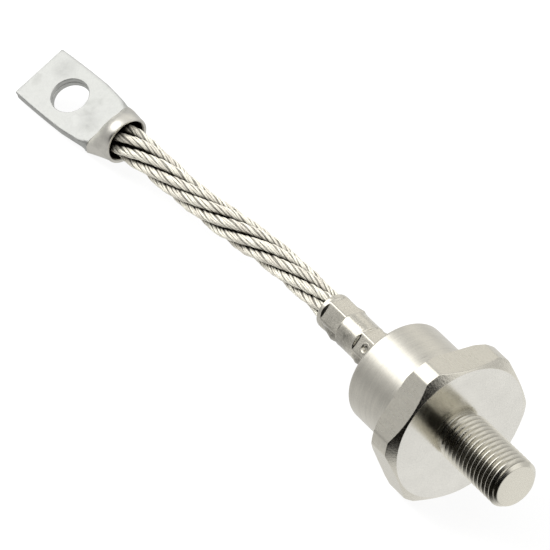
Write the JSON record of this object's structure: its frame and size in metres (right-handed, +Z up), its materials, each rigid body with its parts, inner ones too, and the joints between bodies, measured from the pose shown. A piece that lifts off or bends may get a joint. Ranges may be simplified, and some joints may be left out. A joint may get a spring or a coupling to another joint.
{
  "type": "stud diode",
  "caption": "Stud-mounted power diode: hexagon base with a threaded stud, welded round case, crimped ferrule and a bare stranded lead that ends in a flattened tube lug.",
  "frame": {"origin": "middle of the seat face, on the axis of the stud", "axes": "+X along the stud, away from the case, within the small tilt at which the part lies; +Z up from the surface it lies on"},
  "size_m": [0.1373, 0.0296, 0.0273],
  "materials": {
    "base_plate": "nickel-plated copper, bright on the seat",
    "case_plate": "nickel-plated steel, satin",
    "sleeve_plate": "nickel-plated copper, bright",
    "tinned_rope": "tinned copper wires",
    "tinned_lug": "matt tin on copper",
    "seal_glass": "fused glass",
    "seal_alloy": "nickel-iron alloy",
    "ring_steel": "plain steel",
    "molybdenum": "ground molybdenum",
    "silicon": "polished silicon",
    "bare_copper": "bare copper"
  },
  "bodies": {
    "root": {"stud_base": "base_plate", "weld_ring": "ring_steel", "case_cap": "case_plate", "seal_glass": "seal_glass", "seal_tube": "seal_alloy", "lower_disc": "molybdenum", "silicon_wafer": "silicon", "upper_disc": "molybdenum", "contact_cup": "bare_copper", "inner_lead": "bare_copper", "ferrule": "sleeve_plate", "lead": "tinned_rope", "lug": "tinned_lug"}
  },
  "joints": []
}
